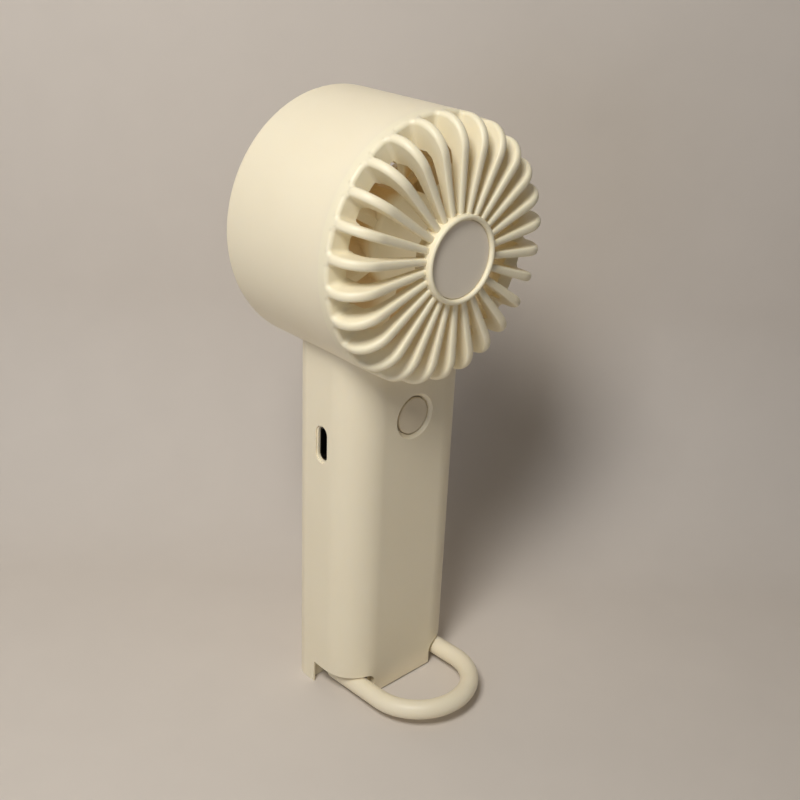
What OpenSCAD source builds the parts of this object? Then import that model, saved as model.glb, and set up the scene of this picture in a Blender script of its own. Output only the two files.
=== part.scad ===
// Handheld fan: a round head with a deep radial fin grille on a straight handle,
// a round power button, a charging port and a swinging foot loop under the handle.
// Millimetres. The origin is on the floor under the middle of the handle, +Z is up
// and the grille faces -Y.

/* [Head] */
// Outer radius of the round head
head_r = 31.5; // [28:0.5:35]
// Height of the head's axis above the floor
head_z = 124.4; // [120:0.2:132]
// Distance from the handle's middle back to the rear rim of the head
head_back = 22.6; // [21:0.2:28]
// Thickness of the head's outer skin
head_wall = 2.2; // [1.8:0.1:2.6]
// Rounding of the head's rear rim
head_edge_r = 1.6; // [0.6:0.1:1.7]
// Distance that the head's skin reaches past the handle's front face
seam_margin = 0.4; // [0.2:0.1:0.6]

/* [Front grille] */
// Number of fins
fin_count = 26; // [18:2:30]
// Thickness of a fin at the rim
fin_rim_t = 2.4; // [1.8:0.1:2.8]
// Thickness of a fin at the hub
fin_hub_t = 1.6; // [1.2:0.1:1.7]
// Distance from the head's seam forward to the start of the slots
slot_lead = 2.8; // [2.8:0.1:4]
// Distance from the start of the slots forward to the flat front of the fins
fin_depth = 8.5; // [8.2:0.1:12]
// Radius of the shoulder between the head's wall and the front of the fins
shoulder_r = 7; // [4:0.5:8]
// Depth of a fin where it meets the hub
fin_hub_depth = 3.4; // [2.5:0.1:5]
// Distance from the head's outside in to the outer ends of the air windows
window_inset = 5.5; // [5.3:0.1:6.1]
// Corner radius of the air windows
window_corner_r = 1; // [0.5:0.1:1.4]
// Thickness of the flange that the windows go through
flange_t = 2.4; // [1.6:0.1:2.6]
// Outer radius of the hub ring
hub_ring_r = 10.4; // [9.5:0.1:12]
// Wall of the hub ring
hub_ring_wall = 1.2; // [0.8:0.1:1.6]
// Distance that the hub ring stands in front of the fins
hub_ring_proud = 1.3; // [0.6:0.1:2]
// Depth of the plain disc below the front of the hub ring
badge_recess = 0.9; // [0.4:0.1:1.2]
// Thickness of the plain disc
badge_t = 1.1; // [0.8:0.1:1.4]
// Thickness of the hub's floor under the plain disc
hub_floor_t = 1.2; // [0.8:0.1:1.6]
// Wall of the spigot that enters the head
spigot_t = 1.2; // [0.8:0.1:1.4]
// Length of the spigot that enters the head
spigot_len = 4; // [3:0.5:5]

/* [Rear grille] */
// Number of intake slots
intake_count = 26; // [16:2:30]
// Width of an intake slot
intake_w = 2.4; // [1.5:0.1:2.8]
// Radius where the intake slots start
intake_r0 = 14; // [13.5:0.5:16]
// Distance from the head's outside in to the outer ends of the intake slots
intake_inset = 6; // [5.5:0.5:9]
// Thickness of the rear grille's plate
rear_plate_t = 2; // [1.5:0.1:2.5]
// Depth of the rear grille's face below the rear rim
rear_inset = 0.6; // [0.2:0.1:1]
// Length of the rear grille's skirt
rear_skirt = 5; // [3:0.5:5.5]
// Wall of the rear grille's skirt
skirt_t = 1.5; // [1:0.1:2]

/* [Air duct] */
// Wall of the air duct
duct_wall = 1.6; // [1.2:0.1:1.8]
// Thickness of the duct's rear flange
duct_flange_t = 2; // [1.2:0.1:3]
// Number of struts that carry the motor
strut_count = 6; // [4:2:8]
// Thickness of a strut
strut_t = 1.6; // [1.2:0.1:2]
// Depth of a strut along the air flow
strut_depth = 5; // [3:0.5:5]

/* [Impeller] */
// Number of blades
blade_count = 7; // [5:1:9]
// Running gap between the blade tips and the duct
tip_gap = 0.7; // [0.5:0.1:1.5]
// Distance from the handle's middle forward to the front of the impeller hub
impeller_front = 7; // [6:0.1:8]
// Length of the impeller hub
impeller_len = 13.5; // [13.5:0.5:14.5]
// Length of the blades along the axis
blade_len = 11; // [8:0.5:11.5]
// Turn of a blade from its rear edge to its front edge, in degrees
blade_twist = 48; // [30:1:60]
// Thickness of a blade, measured round the axis
blade_t = 1.8; // [1.4:0.1:2.6]
// Rounding of the impeller hub's front edge
impeller_edge_r = 2; // [1:0.1:2.4]

/* [Motor] */
// Radius of the motor shaft
shaft_r = 1; // [0.8:0.1:1.2]
// Outer radius of the shaft bearings
bearing_r = 3; // [2.6:0.1:3.2]
// Length of a shaft bearing
bearing_len = 2.5; // [2:0.1:3]
// Depth of the bearings below the ends of their tube
bearing_inset = 0.2; // [0.1:0.1:0.6]
// Wall of the bearing tube
tube_wall = 1; // [0.8:0.1:1.2]
// Distance that the bearing tube stands in front of the stator's core
tube_over = 0.4; // [0.2:0.1:0.6]
// Outer radius of the stator
stator_r = 7.9; // [7.4:0.1:8.2]
// Length of the stator's iron core
stator_len = 6; // [4:0.5:6.5]
// Number of stator teeth
tooth_count = 6; // [3:3:6]
// Width of a stator tooth
tooth_w = 1.6; // [1.2:0.1:1.7]
// Thickness of a tooth's tip
tip_t = 1; // [0.8:0.1:1.1]
// Angle between neighbouring tooth tips
tip_space = 14; // [10:1:20]
// Wall of the core's ring
core_wall = 0.8; // [0.6:0.1:0.9]
// Thickness of a coil
coil_t = 0.8; // [0.5:0.1:0.9]
// Length of a coil past each end of the core
winding_over = 1.2; // [0.8:0.1:1.3]
// Gap between the coils and the floor of the rotor cup
rotor_clear = 1.2; // [0.8:0.1:1.6]
// Gap between the stator and the magnets
air_gap = 0.4; // [0.3:0.1:0.6]
// Thickness of the magnet ring
magnet_t = 1; // [0.8:0.1:1.2]
// Length of the magnets past the rear end of the core
magnet_over = 0.6; // [0.3:0.1:0.8]
// Thickness of the steel rotor cup
yoke_t = 0.7; // [0.5:0.1:0.9]
// Distance from the impeller hub's rear edge to the edge of the rotor cup
yoke_inset = 1; // [0.5:0.1:1.3]
// Wall of the impeller hub
hub_wall = 1.4; // [1:0.1:1.8]
// Wall of the impeller's boss round the shaft
boss_wall = 1.6; // [1.2:0.1:2]
// Gap between the bearing tube and the impeller's boss
boss_gap = 0.6; // [0.4:0.1:0.8]
// Thickness of the motor's ring board
motor_board_t = 1; // [0.6:0.1:1.2]
// Distance that the ring board stays inside the motor seat's outline
motor_board_inset = 0.8; // [0.4:0.1:1.4]
// Gap between the ring board and the bearing tube's outline
motor_board_clear = 1; // [0.6:0.1:1.6]
// Thickness of the motor seat
seat_t = 2; // [1.6:0.1:2.4]
// Gap between the impeller hub and the motor seat
seat_gap = 2; // [1.5:0.1:2.5]
// Distance that the motor seat stays inside the impeller hub's outline
seat_inset = 0.4; // [0.2:0.1:1]
// Length of the shaft behind the motor seat
shaft_tail = 1.5; // [1.2:0.1:2]
// Thickness of the shaft's retaining ring
clip_t = 0.6; // [0.4:0.1:0.8]
// Width of the shaft's retaining ring
clip_w = 1; // [0.6:0.1:1.2]

/* [Handle] */
// Width of the handle
handle_w = 39; // [38:0.5:42]
// Depth of the handle
handle_d = 23.2; // [22.8:0.2:26]
// Radius of the handle's two front edges
front_corner_r = 10; // [8:0.5:10.5]
// Radius of the handle's two rear edges
rear_corner_r = 5; // [4:0.5:7]
// Wall of the handle
handle_wall = 2; // [1.6:0.1:2.1]
// Height of the two side arches at the foot
arch_h = 6.7; // [6.6:0.1:8]
// Radius of the arch's inner top corner
arch_corner_r = 2.4; // [1:0.1:3]
// Half of the width of the front tab between the arches
tab_half_w = 10.1; // [8:0.1:10.8]
// Distance from the handle's middle back to the front of the rear leg
leg_front = 3; // [2.8:0.1:4]
// Gap between the tops of the arches and the plate of the base plug
plug_lift = 0.5; // [0.3:0.1:0.8]
// Thickness of the base plug's plate
plug_t = 2.2; // [1.8:0.1:2.6]
// Radius of the bosses for the foot screws
boss_screw_r = 2.8; // [2.5:0.1:2.9]
// Length of the bosses for the foot screws
boss_screw_len = 9; // [7:0.5:12]
// Distance that the bosses sink into the handle's side walls
boss_side_lap = 0.5; // [0.3:0.1:0.7]
// Distance that the bosses sink into the handle's rear wall
boss_rear_lap = 0.1; // [0.05:0.05:0.2]

/* [Power button] */
// Radius of the button's face
button_r = 4.8; // [4:0.1:5.2]
// Height of the button above the floor
button_z = 80.8; // [79:0.1:82]
// Travel of the button
button_travel = 0.5; // [0.3:0.1:0.6]
// Gap round the button's face
button_gap = 0.2; // [0.15:0.05:0.3]
// Depth of the button's face below the handle's front
button_inset = 0.25; // [0.1:0.05:0.5]
// Width of the dished rim round the button
dish_w = 0.9; // [0.4:0.1:1.2]
// Depth of the dished rim
dish_depth = 0.6; // [0.3:0.1:0.9]
// Width of the button's inner flange
button_flange_w = 1.4; // [1:0.1:1.8]
// Thickness of the button's inner flange
button_flange_t = 1.2; // [0.8:0.1:1.4]
// Radius of the button's stem
button_stem_r = 1.5; // [1.2:0.1:1.6]

/* [Switch] */
// Width and height of the switch
switch_w = 6; // [5:0.1:7]
// Depth of the switch
switch_depth = 3.5; // [3:0.1:4]
// Radius of the switch's plunger
plunger_r = 1.7; // [1.6:0.1:2]
// Distance that the plunger stands out of the switch
plunger_out = 1; // [0.7:0.1:1.2]
// Depth of the plunger's guide in the switch
plunger_deep = 1.6; // [1.2:0.1:2]

/* [Charging port] */
// Height of the port's middle above the floor
port_z = 74.2; // [72:0.1:75]
// Height of the port's slot
port_h = 9.4; // [9.2:0.1:10]
// Width of the port's slot
port_w = 3.5; // [3.4:0.1:4]
// Edge break round the port's slot
port_chamfer = 0.4; // [0.2:0.1:0.6]
// Distance from the handle's middle back to the port's middle
port_back = 0.8; // [0.4:0.1:1.4]
// Depth of the socket's mouth below the handle's side
port_recess = 0.9; // [0.5:0.1:1.5]
// Height of the socket's metal shell
usb_h = 8.94; // [8.8:0.02:9]
// Thickness of the socket's metal shell from side to side
usb_t = 3.16; // [3.1:0.02:3.2]
// Length of the socket
usb_len = 7.3; // [6.5:0.1:8]
// Wall of the socket's metal shell
usb_wall = 0.3; // [0.2:0.05:0.4]
// Height of the socket's contact tongue
tongue_h = 6.6; // [6:0.1:7]
// Thickness of the socket's contact tongue
tongue_t = 0.7; // [0.6:0.05:0.9]
// Length of the socket's contact tongue
tongue_len = 5; // [4:0.1:6]

/* [Foot loop] */
// Radius of the loop's round rod
rod_r = 2.5; // [2.2:0.05:2.55]
// Distance from the middle to the centre of each arm
loop_x = 14; // [13.8:0.1:14.4]
// Length of the straight arms
loop_arm = 17.8; // [16:0.2:22]
// Height of the loop's pivot above the floor
pivot_z = 3.1; // [2.9:0.1:3.3]
// Upward tilt of the loop as it stands, in degrees
loop_tilt = 3.8; // [0:0.2:4]
// Radius of the loop's pivot pins
pin_r = 1.4; // [1.2:0.1:1.6]
// Length of each pivot pin inside the base plug
pin_len = 4; // [3:0.5:5]

/* [Battery and board] */
// Gap between the battery cell and the handle's front and rear walls
cell_gap = 0.5; // [0.4:0.1:0.8]
// Length of the battery cell
cell_len = 50; // [44:0.5:50]
// Height of the cell's raised contact
cap_h = 0.25; // [0.15:0.05:0.4]
// Thickness of the circuit board
board_t = 1.6; // [1:0.1:1.8]
// Gap between the circuit board and the handle's side walls
board_gap = 2; // [1:0.5:3]
// Height of the circuit board above the button's middle
board_over = 9; // [8:0.5:10]
// Distance from the board's edges to its screws
post_inset = 4; // [3.6:0.1:4.6]
// Radius of the posts that carry the board
board_post_r = 2.2; // [1.9:0.1:2.4]
// Gap that the solder leaves between the board and the socket
solder_gap = 0.02; // [0.01:0.01:0.05]
// Thickness of the frame's plates
frame_t = 1.5; // [1.2:0.1:1.8]
// Distance from the frame's cheeks to its front and back
cheek_inset = 2; // [1:0.1:3]
// Distance from the board's top down to the top of the frame's back plate
plate_drop = 1; // [0.5:0.5:2]
// Radius of the insulated leads
lead_r = 0.6; // [0.4:0.05:0.65]
// Length of the positive battery lead in front of the board
plus_join = 6; // [4:0.5:8]
// Length of the negative battery lead behind the board
minus_join = 3; // [1:0.5:6]
// Distance from the board's top down to the motor leads' ends
motor_join = 6; // [4:0.5:8]

/* [Screws] */
// Radius of a screw's shank
screw_r = 0.9; // [0.7:0.1:1]
// Radius of a screw's head
screw_head_r = 1.8; // [1.5:0.1:1.9]
// Thickness of a screw's head
screw_head_t = 1.2; // [0.8:0.1:1.4]
// Depth of the foot screws' seats below the plate of the base plug
seat_drop = 1; // [0.5:0.1:1.5]
// Length of the bosses past the tips of the foot screws
screw_spare = 3; // [1:0.5:4]

/* [Fits] */
// Gap between pieces that slide together
fit_gap = 0.1; // [0.05:0.01:0.15]
// Radial gap of a turning shaft or pin
run_gap = 0.05; // [0.02:0.01:0.08]
// Gap between pieces that must not touch
free_gap = 0.3; // [0.2:0.05:0.4]

/* [Hidden] */
$fn = 64;

// Overlap that keeps joined shapes from meeting edge to edge
lap = 0.2;
// Reach of a cutter past the face it cuts
reach = 1;

// The head: distances along its axis count forward from the handle's middle
head_bore_r = head_r - head_wall;
head_seam = handle_d / 2 + seam_margin;
fit_bore_r = head_bore_r - fit_gap;

// Front grille
window_r = head_r - window_inset;
slot_start = head_seam + slot_lead;
fin_front = slot_start + fin_depth;
shoulder_c = head_r - shoulder_r;
shoulder_s = fin_front - shoulder_r;
flange_back = slot_start - flange_t;
flange_bore_r = window_r - 2 * window_corner_r;
fin_back_hub = fin_front - fin_hub_depth;
fin_root_r = hub_ring_r - hub_ring_wall / 2;
hub_front = fin_front + hub_ring_proud;
badge_r = hub_ring_r - hub_ring_wall - fit_gap;
badge_front = hub_front - badge_recess;
badge_back = badge_front - badge_t;
spigot_in_r = fit_bore_r - spigot_t;

// Rear grille and air duct
intake_r1 = head_r - intake_inset;
rear_face = rear_inset - head_back;
duct_back = rear_face + rear_plate_t + rear_skirt;
duct_outer_r = window_r + duct_wall;

// Motor and impeller
tube_r = bearing_r + fit_gap / 2 + tube_wall;
magnet_in_r = stator_r + air_gap;
yoke_in_r = magnet_in_r + magnet_t + run_gap;
yoke_r = yoke_in_r + yoke_t;
cup_in_r = yoke_r + run_gap;
impeller_r = cup_in_r + hub_wall;
blade_r = window_r - tip_gap;
cup_floor = impeller_front - hub_wall;
impeller_back = impeller_front - impeller_len;
yoke_front = cup_floor - run_gap;
yoke_back = impeller_back + yoke_inset;
stator_front = yoke_front - yoke_t - winding_over - rotor_clear;
stator_back = stator_front - stator_len;
tube_front = stator_front + tube_over;
seat_front = impeller_back - seat_gap;
seat_back = seat_front - seat_t;
seat_r = impeller_r - seat_inset;
motor_board_r = seat_r - motor_board_inset;
boss_r = shaft_r + boss_wall;
boss_back = tube_front + boss_gap;
clip_front = seat_back - free_gap;
shaft_back = seat_back - shaft_tail;
shaft_front = cup_floor + hub_wall / 2;
tooth_half_w = tooth_w / 2;

// Handle
inside_half_d = handle_d / 2 - handle_wall;
frame_d = inside_half_d - 2 * free_gap;
plug_under = arch_h + plug_lift;
plug_top = plug_under + plug_t;
plug_half_w = loop_x - rod_r - 2 * free_gap;
inside_half_w = handle_w / 2 - handle_wall;
boss_screw_x = inside_half_w - boss_screw_r + boss_side_lap;
boss_screw_y = inside_half_d - boss_screw_r + boss_rear_lap;
screw_seat = plug_under - seat_drop;
column_top = head_z - sqrt(head_r * head_r - handle_w * handle_w / 4) + head_wall;

// Charging socket
usb_mouth = handle_w / 2 - port_recess;
usb_floor = usb_len - usb_wall - usb_mouth;

// Battery, frame and board
cell_r = inside_half_d - cell_gap;
cell_z = plug_top + frame_t;
cell_top = cell_z + cell_len;
frame_half_w = boss_screw_x - boss_screw_r - free_gap;
frame_top = cell_top + free_gap;
board_half_w = inside_half_w - board_gap;
board_front = port_back + usb_t / 2 + solder_gap;
board_back = board_front + board_t;
board_z = frame_top + frame_t + free_gap;
board_top = button_z + board_over;
board_post_x = board_half_w - post_inset;
board_post_z = board_top - post_inset;
back_plate_y = frame_d - frame_t;

// Button and switch
button_front = handle_d / 2 - button_inset;
button_flange_r = button_r + button_flange_w;
switch_front = switch_depth - board_front;
plunger_tip = -switch_front - plunger_out;

// Battery leads, straight up: one to the front of the board and one to its back
lead_way = lead_r + fit_gap;
plus_y = board_front - lead_way;
minus_x = lead_way - frame_half_w;
minus_y = board_back + lead_way;

// Motor leads, straight from the back of the board through the duct
lead_x = strut_t / 2 + lead_r + free_gap;
lead_z0 = board_top - motor_join;
lead_z1 = head_z - motor_board_r - free_gap;
lead_y0 = board_back + lead_way;
lead_y1 = -seat_back + lead_r + 2 * fit_gap;
lead_slope = (lead_y1 - lead_y0) / (lead_z1 - lead_z0);
lead_hole_r = lead_x + lead_r + free_gap;
lead_hole_y = lead_y0 + lead_slope * (head_z - head_r + head_wall / 2 - lead_z0);
lead_duct_y = lead_y0 + lead_slope * (head_z - window_r - duct_wall / 2 - lead_z0);
lead_slot_w = 2 * (lead_r + 2 * fit_gap);
lead_slot_d = lead_slot_w + 2 * duct_wall * lead_slope;

// Rectangle from its two corners
module span(x0, x1, y0, y1) {
    translate([x0, y0]) square([x1 - x0, y1 - y0]);
}

// Box from its two corners
module block(a, b) {
    translate(a) cube(b - a);
}

// Turns a shape drawn along +Z so that it points forward on the head's axis
module on_head() {
    translate([0, 0, head_z]) rotate([90, 0, 0]) children();
}

// Ring about the Z axis between two radii and two heights
module ring(r0, r1, z0, z1) {
    translate([0, 0, z0]) difference() {
        cylinder(r = r1, h = z1 - z0);
        translate([0, 0, -reach]) cylinder(r = r0, h = z1 - z0 + 2 * reach);
    }
}

// Cylinder along the front-to-back direction, from y0 back to y1
module along_y(x, z, r, y0, y1) {
    translate([x, y1, z]) rotate([90, 0, 0]) cylinder(r = r, h = y1 - y0);
}

// Straight length of round rod between two points
module rod(a, b, r) {
    d = b - a;
    translate(a) rotate([0, acos(d[2] / norm(d)), atan2(d[1], d[0])]) cylinder(r = r, h = norm(d));
}

// The handle's outline in plan, drawn in by an inset all round
module handle_outline(inset) {
    front_x = handle_w / 2 - front_corner_r;
    rear_x = handle_w / 2 - rear_corner_r;
    front_y = -handle_d / 2 + front_corner_r;
    rear_y = handle_d / 2 - rear_corner_r;
    span(-front_x, front_x, -handle_d / 2 + inset, rear_y);
    span(-handle_w / 2 + inset, handle_w / 2 - inset, front_y, rear_y);
    span(-rear_x, rear_x, front_y, handle_d / 2 - inset);
    for (side = [-1, 1]) {
        translate([side * front_x, front_y]) circle(front_corner_r - inset);
        translate([side * rear_x, rear_y]) circle(rear_corner_r - inset);
    }
}

// Slot with round ends, upright, about its own middle
module slot_outline(h, w) {
    square([w, h - w], center = true);
    for (end = [-1, 1]) {
        translate([0, end * (h - w) / 2]) circle(w / 2);
    }
}

// Upright slot cut into the left side of the handle, from x0 to x1
module port_slot(h, w, x0, x1) {
    translate([x0, port_back, port_z]) rotate([90, 0, 90]) linear_extrude(x1 - x0) slot_outline(h, w);
}

// Opening of one side arch at the foot, seen from the front
module arch_outline() {
    out = handle_w / 2 + reach;
    span(tab_half_w, out, -reach, arch_h - arch_corner_r);
    span(tab_half_w + arch_corner_r, out, -reach, arch_h);
    translate([tab_half_w + arch_corner_r, arch_h - arch_corner_r]) circle(arch_corner_r);
}

// Section of the head's skin: a tube with a rounded rear rim
module head_section() {
    span(head_bore_r, head_r, head_edge_r - head_back, head_seam);
    span(head_bore_r, head_r - head_edge_r, -head_back, head_seam);
    translate([head_r - head_edge_r, head_edge_r - head_back]) intersection() {
        circle(head_edge_r);
        span(0, head_edge_r, -head_edge_r, 0);
    }
}

// One moulding: the head's skin and the hollow handle with its arches and openings
module body_shell() {
    hole_r = button_r + button_gap;
    color("ivory") difference() {
        union() {
            on_head() rotate_extrude() head_section();
            difference() {
                linear_extrude(column_top) handle_outline(0);
                difference() {
                    translate([0, 0, -reach])
                        linear_extrude(column_top + 2 * reach) handle_outline(handle_wall);
                    on_head() cylinder(r = head_r - head_wall / 2, h = handle_d * 2, center = true);
                    for (side = [-1, 1]) {
                        translate([side * boss_screw_x, boss_screw_y, plug_top])
                            cylinder(r = boss_screw_r, h = boss_screw_len);
                    }
                }
                on_head() cylinder(r = head_bore_r, h = handle_d * 2, center = true);
            }
        }
        for (side = [0, 1]) {
            mirror([side, 0, 0]) translate([0, leg_front, 0]) rotate([90, 0, 0])
                linear_extrude(leg_front + handle_d) arch_outline();
        }
        for (side = [-1, 1]) {
            translate([side * boss_screw_x, boss_screw_y, plug_top - reach])
                cylinder(r = screw_r, h = boss_screw_len);
        }
        along_y(0, button_z, hole_r, -handle_d / 2 - reach, -inside_half_d + reach);
        translate([0, -handle_d / 2 + dish_depth, button_z]) rotate([90, 0, 0])
            cylinder(r1 = hole_r, r2 = hole_r + dish_w, h = dish_depth);
        port_slot(port_h, port_w, -handle_w / 2 - reach, -inside_half_w + reach);
        port_slot(port_h + 2 * port_chamfer, port_w + 2 * port_chamfer,
            -handle_w / 2 - reach, -handle_w / 2 + port_chamfer);
        translate([0, lead_hole_y, head_z - head_r - reach])
            cylinder(r = lead_hole_r, h = head_wall + 3 * reach);
    }
}

// Half section of the grille's rim: the flange with the windows, and the spigot behind it
module rim_section() {
    span(flange_bore_r, head_r, flange_back, slot_start);
    span(spigot_in_r, head_r, head_seam, flange_back + lap);
    span(spigot_in_r, fit_bore_r, head_seam - spigot_len, flange_back + lap);
}

// Half section of the space that the fins fill, with the round shoulder
module fin_section() {
    span(fin_root_r, head_r, slot_start - lap, shoulder_s);
    span(fin_root_r, shoulder_c, slot_start - lap, fin_front);
    translate([shoulder_c, shoulder_s]) intersection() {
        circle(shoulder_r);
        square(shoulder_r + reach);
    }
}

// One fin in front view, pointing along +X and thicker at the rim
module fin_outline() {
    tip = head_r + reach;
    slope = (fin_rim_t - fin_hub_t) / (head_r - hub_ring_r);
    root_half = (fin_hub_t - slope * (hub_ring_r - fin_root_r)) / 2;
    tip_half = (fin_rim_t + slope * reach) / 2;
    polygon([[fin_root_r, -root_half], [tip, -tip_half], [tip, tip_half], [fin_root_r, root_half]]);
}

// Side view of what is cut from behind a fin, so that it gets shallower towards the hub
module fin_relief() {
    rim = flange_bore_r - lap;
    rim_s = slot_start - 2 * lap;
    root = fin_root_r - reach;
    slope = (fin_back_hub - rim_s) / (rim - hub_ring_r);
    polygon([
        [root, slot_start - reach],
        [rim, slot_start - reach],
        [rim, rim_s],
        [root, fin_back_hub + slope * (hub_ring_r - root)]
    ]);
}

// One fin, before its outer edge is shaped
module fin_blank() {
    difference() {
        translate([0, 0, slot_start - reach / 2]) linear_extrude(hub_front) fin_outline();
        rotate([90, 0, 0]) linear_extrude(fin_rim_t + reach, center = true) fin_relief();
    }
}

// Air window through the flange between two fins, along +X, with round outer corners
module window_outline() {
    lean = 180 / fin_count;
    inner = flange_bore_r - reach;
    corner = window_r - window_corner_r;
    function side_y(x, inset) = x * tan(lean) - (fin_rim_t / 2 + inset) / cos(lean);
    corner_y = side_y(corner, window_corner_r);
    touch_x = corner - window_corner_r * sin(lean);
    polygon([
        [inner, -side_y(inner, 0)], [touch_x, -side_y(touch_x, 0)],
        [touch_x, side_y(touch_x, 0)], [inner, side_y(inner, 0)]
    ]);
    span(corner - window_corner_r, window_r, -corner_y, corner_y);
    for (end = [-1, 1]) {
        translate([corner, end * corner_y]) circle(window_corner_r);
    }
}

// Deep grille of radial fins round a hub ring, with the rim that closes the head
module front_grille() {
    color("ivory") on_head() union() {
        difference() {
            rotate_extrude() rim_section();
            for (k = [0 : fin_count - 1]) {
                rotate(90 + (k + 0.5) * 360 / fin_count) translate([0, 0, flange_back - reach])
                    linear_extrude(flange_t + 2 * reach) window_outline();
            }
        }
        intersection() {
            rotate_extrude() fin_section();
            for (k = [0 : fin_count - 1]) {
                rotate(90 + k * 360 / fin_count) fin_blank();
            }
        }
        ring(hub_ring_r - hub_ring_wall, hub_ring_r, fin_back_hub - lap, hub_front);
        translate([0, 0, badge_back - hub_floor_t]) cylinder(r = fin_root_r, h = hub_floor_t);
    }
}

// Plain disc set into the hub ring
module hub_badge() {
    color("tan") on_head() translate([0, 0, badge_back]) cylinder(r = badge_r, h = badge_t);
}

// Snap-in rear cover with radial intake slots round a closed middle
module rear_grille() {
    mid_r = (intake_r0 + intake_r1) / 2;
    color("ivory") on_head() difference() {
        union() {
            translate([0, 0, rear_face]) cylinder(r = fit_bore_r, h = rear_plate_t);
            ring(fit_bore_r - skirt_t, fit_bore_r, rear_face + lap, duct_back);
        }
        for (k = [0 : intake_count - 1]) {
            rotate(90 + (k + 0.5) * 360 / intake_count)
                translate([mid_r, 0, rear_face - reach]) rotate(90)
                linear_extrude(rear_plate_t + 2 * reach) slot_outline(intake_r1 - intake_r0, intake_w);
        }
    }
}

// Duct round the impeller, with struts, the motor seat and the bearing tube
module air_duct() {
    color("wheat") on_head() difference() {
        union() {
            ring(window_r, duct_outer_r, duct_back, flange_back);
            ring(window_r, fit_bore_r, duct_back, duct_back + duct_flange_t);
            translate([0, 0, seat_back]) cylinder(r = seat_r, h = seat_t);
            translate([0, 0, seat_back]) cylinder(r = tube_r, h = tube_front - seat_back);
            for (k = [0 : strut_count - 1]) {
                rotate(90 + k * 360 / strut_count)
                    block([tube_r + reach, -strut_t / 2, seat_front - strut_depth],
                        [window_r + duct_wall / 2, strut_t / 2, seat_front - lap]);
            }
        }
        translate([0, 0, seat_back - reach])
            cylinder(r = bearing_r + fit_gap / 2, h = tube_front - seat_back + 2 * reach);
        ring(tube_r + lap, seat_r - lap, seat_back - strut_depth, seat_back);
        for (side = [-1, 1]) {
            translate([side * lead_x, -duct_outer_r + duct_wall / 2, -lead_duct_y])
                cube([lead_slot_w, 2 * duct_wall, lead_slot_d], center = true);
        }
    }
}

// Two plain bearings pressed into the ends of the bearing tube
module shaft_bearings() {
    color("darkgoldenrod") on_head() {
        for (back = [seat_back + bearing_inset, tube_front - bearing_inset - bearing_len]) {
            ring(shaft_r + run_gap, bearing_r, back, back + bearing_len);
        }
    }
}

// Iron core of the stator: a ring with teeth and tooth tips
module stator_core() {
    tip_w = 360 / tooth_count - tip_space;
    color("dimgray") on_head() translate([0, 0, stator_back]) difference() {
        union() {
            cylinder(r = tube_r + core_wall, h = stator_len);
            for (k = [0 : tooth_count - 1]) {
                rotate(k * 360 / tooth_count) {
                    block([tube_r, -tooth_half_w, 0], [stator_r - tip_t / 2, tooth_half_w, stator_len]);
                    rotate(-tip_w / 2) rotate_extrude(angle = tip_w)
                        span(stator_r - tip_t, stator_r, 0, stator_len);
                }
            }
        }
        translate([0, 0, -reach]) cylinder(r = tube_r + run_gap, h = stator_len + 2 * reach);
    }
}

// Copper coils, one round each stator tooth
module stator_windings() {
    coil_r0 = tube_r + core_wall + fit_gap;
    coil_r1 = stator_r - tip_t - free_gap;
    tooth = tooth_half_w + fit_gap;
    color("peru") on_head() for (k = [0 : tooth_count - 1]) {
        rotate(k * 360 / tooth_count) difference() {
            block([coil_r0, -tooth - coil_t, stator_back - winding_over],
                [coil_r1, tooth + coil_t, stator_front + winding_over]);
            block([coil_r0 - reach, -tooth, stator_back - fit_gap],
                [coil_r1 + reach, tooth, stator_front + fit_gap]);
        }
    }
}

// Ring-shaped drive board behind the motor seat
module motor_board() {
    color("darkgreen") on_head()
        ring(tube_r + motor_board_clear, motor_board_r, seat_back - motor_board_t, seat_back);
}

// Hub cup and twisted blades in one moulding, with a boss for the shaft
module impeller() {
    blade_steps = 14;
    color("oldlace") on_head() difference() {
        union() {
            rotate_extrude() {
                span(0, impeller_r, impeller_back, impeller_front - impeller_edge_r);
                span(0, impeller_r - impeller_edge_r, impeller_back, impeller_front);
                translate([impeller_r - impeller_edge_r, impeller_front - impeller_edge_r])
                    intersection() {
                        circle(impeller_edge_r);
                        square(impeller_edge_r);
                    }
            }
            for (k = [0 : blade_count - 1]) {
                rotate(k * 360 / blade_count)
                    translate([0, 0, impeller_back + (impeller_len - blade_len) / 2])
                    linear_extrude(blade_len, twist = -blade_twist, slices = blade_steps, $fn = 8)
                    span(impeller_r - hub_wall / 2, blade_r, -blade_t / 2, blade_t / 2);
            }
        }
        ring(boss_r, cup_in_r, boss_back, cup_floor);
        translate([0, 0, impeller_back - reach])
            cylinder(r = cup_in_r, h = boss_back - impeller_back + reach);
        translate([0, 0, impeller_back])
            cylinder(r = shaft_r + run_gap / 2, h = shaft_front + fit_gap - impeller_back);
    }
}

// Steel shaft of the motor
module rotor_shaft() {
    color("silver") on_head()
        translate([0, 0, shaft_back]) cylinder(r = shaft_r, h = shaft_front - shaft_back);
}

// Steel cup that closes the magnets' field
module rotor_yoke() {
    color("slategray") on_head() difference() {
        translate([0, 0, yoke_back]) cylinder(r = yoke_r, h = yoke_front - yoke_back);
        translate([0, 0, impeller_back]) cylinder(r = yoke_in_r, h = yoke_front - yoke_t - impeller_back);
        translate([0, 0, impeller_back]) cylinder(r = boss_r + fit_gap, h = impeller_len);
    }
}

// Ring magnet inside the rotor cup
module magnet_ring() {
    color("black") on_head()
        ring(magnet_in_r, yoke_in_r - run_gap, stator_back - magnet_over, yoke_front - yoke_t - fit_gap);
}

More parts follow.
